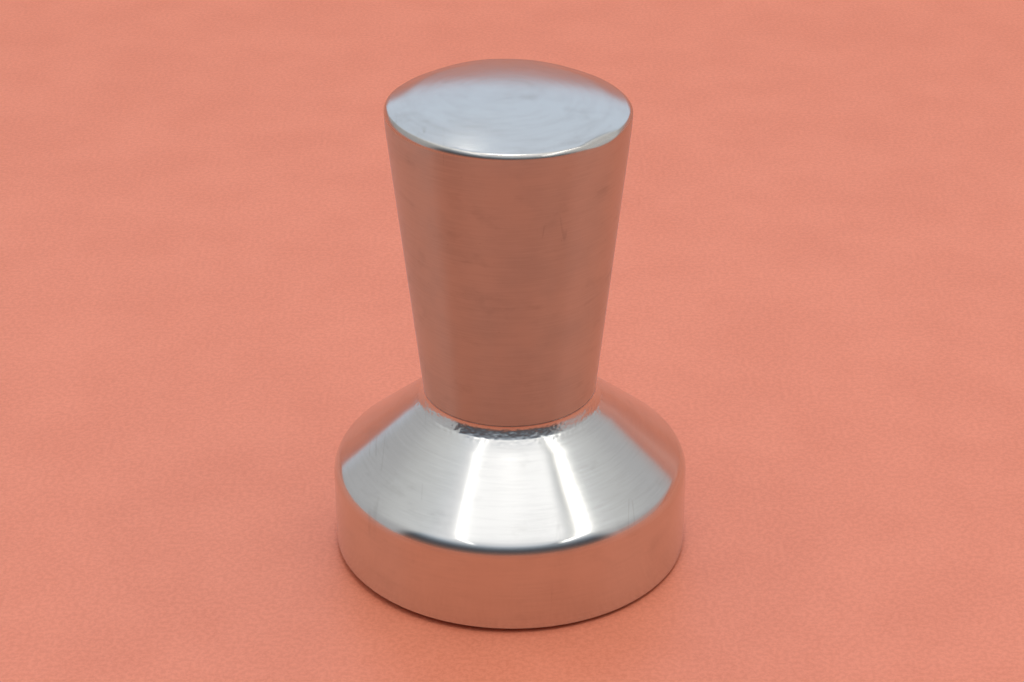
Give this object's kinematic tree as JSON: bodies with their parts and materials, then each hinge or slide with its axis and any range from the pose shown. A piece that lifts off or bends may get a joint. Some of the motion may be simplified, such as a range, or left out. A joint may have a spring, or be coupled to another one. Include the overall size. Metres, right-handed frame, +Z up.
{
  "type": "espresso tamper",
  "caption": "Hand tamper for espresso: flat round base with a conical shoulder, and a flared cone handle with a crowned top that unscrews from it.",
  "frame": {"origin": "centre of the flat tamping face", "axes": "+Z up the axis of the tamper, towards the crown of the handle; X and Y lie in the tamping face and are interchangeable"},
  "size_m": [0.058, 0.058, 0.0796],
  "materials": {
    "base_metal": "turned and hand polished, fine scratches, coarser in the hollow of the neck",
    "handle_metal": "turned and hand polished, soft waviness round the cone",
    "stud_steel": "plain rolled thread, slightly oily"
  },
  "bodies": {
    "foot": {"tamper_base": "base_metal"},
    "stud": {"threaded_stud": "stud_steel"},
    "handle": {"handle": "handle_metal"}
  },
  "joints": [
    {"name": "thread_lift", "type": "slide", "parent": "foot", "child": "stud", "axis": [0, 0, 1], "range_m": [0, 0.012]},
    {"name": "handle_turn", "type": "hinge", "parent": "stud", "child": "handle", "pos_m": [0, 0, 0.0288], "axis": [0, 0, 1], "range_deg": [0, 2880]}
  ],
  "couplings": [
    {"joint": "handle_turn", "follows": "thread_lift", "rad_per_m": 4188.8}
  ]
}
